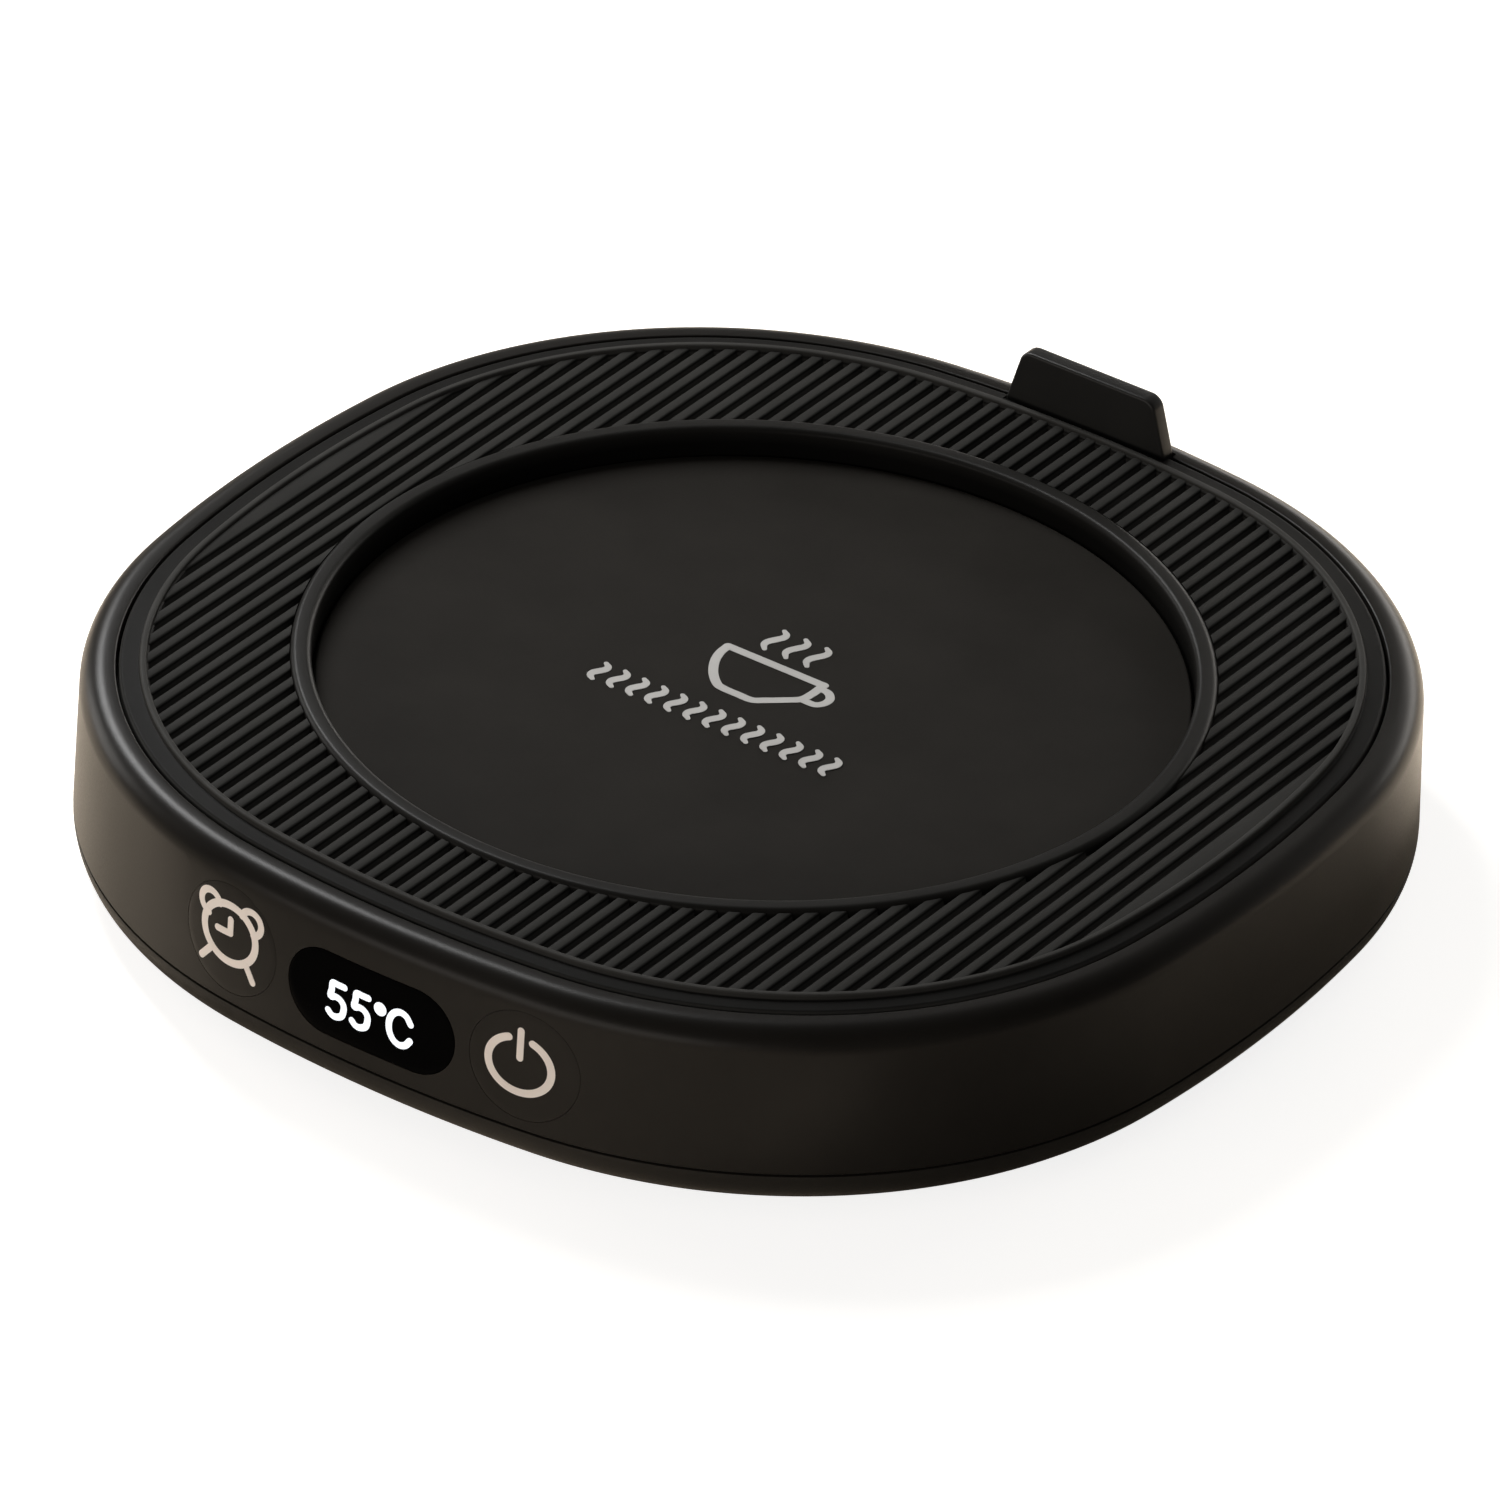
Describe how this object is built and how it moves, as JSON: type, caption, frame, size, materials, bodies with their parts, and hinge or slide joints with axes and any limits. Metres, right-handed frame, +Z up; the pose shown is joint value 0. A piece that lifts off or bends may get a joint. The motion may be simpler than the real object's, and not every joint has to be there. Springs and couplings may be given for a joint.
{
  "type": "electric mug warmer",
  "caption": "Low rounded-square desk warmer: ribbed deck round a recessed heating plate, front display between two press keys, small rear tab.",
  "frame": {"origin": "centre of the footprint on the plane the feet stand on", "axes": "+Z up, -Y towards the front with the display and keys, +X to the right seen from the front"},
  "size_m": [0.118, 0.118, 0.0256],
  "materials": {
    "upper_housing": "fine-grained moulded plastic, soft sheen",
    "ribbed_deck": "moulded plastic with straight ribs",
    "recess_ring": "moulded heat-proof plastic, satin lip",
    "heating_plate": "dark coated aluminium, fine texture",
    "plate_gasket": "soft silicone",
    "heater_film": "amber heater film",
    "insulation_disc": "pressed fibre",
    "heater_bracket": "plain sheet steel",
    "bracket_screws": "zinc-plated steel",
    "temperature_sensor": "epoxy bead and wires",
    "thermal_fuse": "ceramic body and wires",
    "heater_leads": "silicone insulated wire",
    "display_lens": "glossy dark window",
    "display_module": "moulded digit module",
    "timer_key": "fine-grained moulded plastic, soft sheen",
    "power_key": "fine-grained moulded plastic, soft sheen",
    "timer_plunger": "natural acetal",
    "power_plunger": "natural acetal",
    "key_switches": "moulded switch bodies",
    "control_board": "green printed board",
    "board_link": "flat ribbon cable",
    "main_board": "green printed board",
    "board_components": "moulded component bodies",
    "buzzer": "moulded buzzer case",
    "board_screws": "zinc-plated steel",
    "power_inlet": "drawn steel shell with a dark tongue",
    "rear_tab": "smooth dark plastic",
    "bottom_cover": "moulded plastic, slightly rougher",
    "cover_screws": "zinc-plated steel",
    "rubber_feet": "soft rubber"
  },
  "bodies": {
    "warmer": {"upper_housing": "upper_housing", "ribbed_deck": "ribbed_deck", "recess_ring": "recess_ring", "heating_plate": "heating_plate", "plate_gasket": "plate_gasket", "heater_film": "heater_film", "insulation_disc": "insulation_disc", "heater_bracket": "heater_bracket", "bracket_screws": "bracket_screws", "temperature_sensor": "temperature_sensor", "thermal_fuse": "thermal_fuse", "heater_leads": "heater_leads", "display_lens": "display_lens", "display_module": "display_module", "key_switches": "key_switches", "control_board": "control_board", "board_link": "board_link", "main_board": "main_board", "board_components": "board_components", "buzzer": "buzzer", "board_screws": "board_screws", "power_inlet": "power_inlet", "rear_tab": "rear_tab", "bottom_cover": "bottom_cover", "cover_screws": "cover_screws", "rubber_feet": "rubber_feet"},
    "timer_button": {"timer_key": "timer_key", "timer_plunger": "timer_plunger"},
    "power_button": {"power_key": "power_key", "power_plunger": "power_plunger"}
  },
  "joints": [
    {"name": "timer_press", "type": "slide", "parent": "warmer", "child": "timer_button", "axis": [0, 1, 0], "range_m": [0, 0.0004], "stiffness_N_per_m": 800},
    {"name": "power_press", "type": "slide", "parent": "warmer", "child": "power_button", "axis": [0, 1, 0], "range_m": [0, 0.0004], "stiffness_N_per_m": 800}
  ]
}
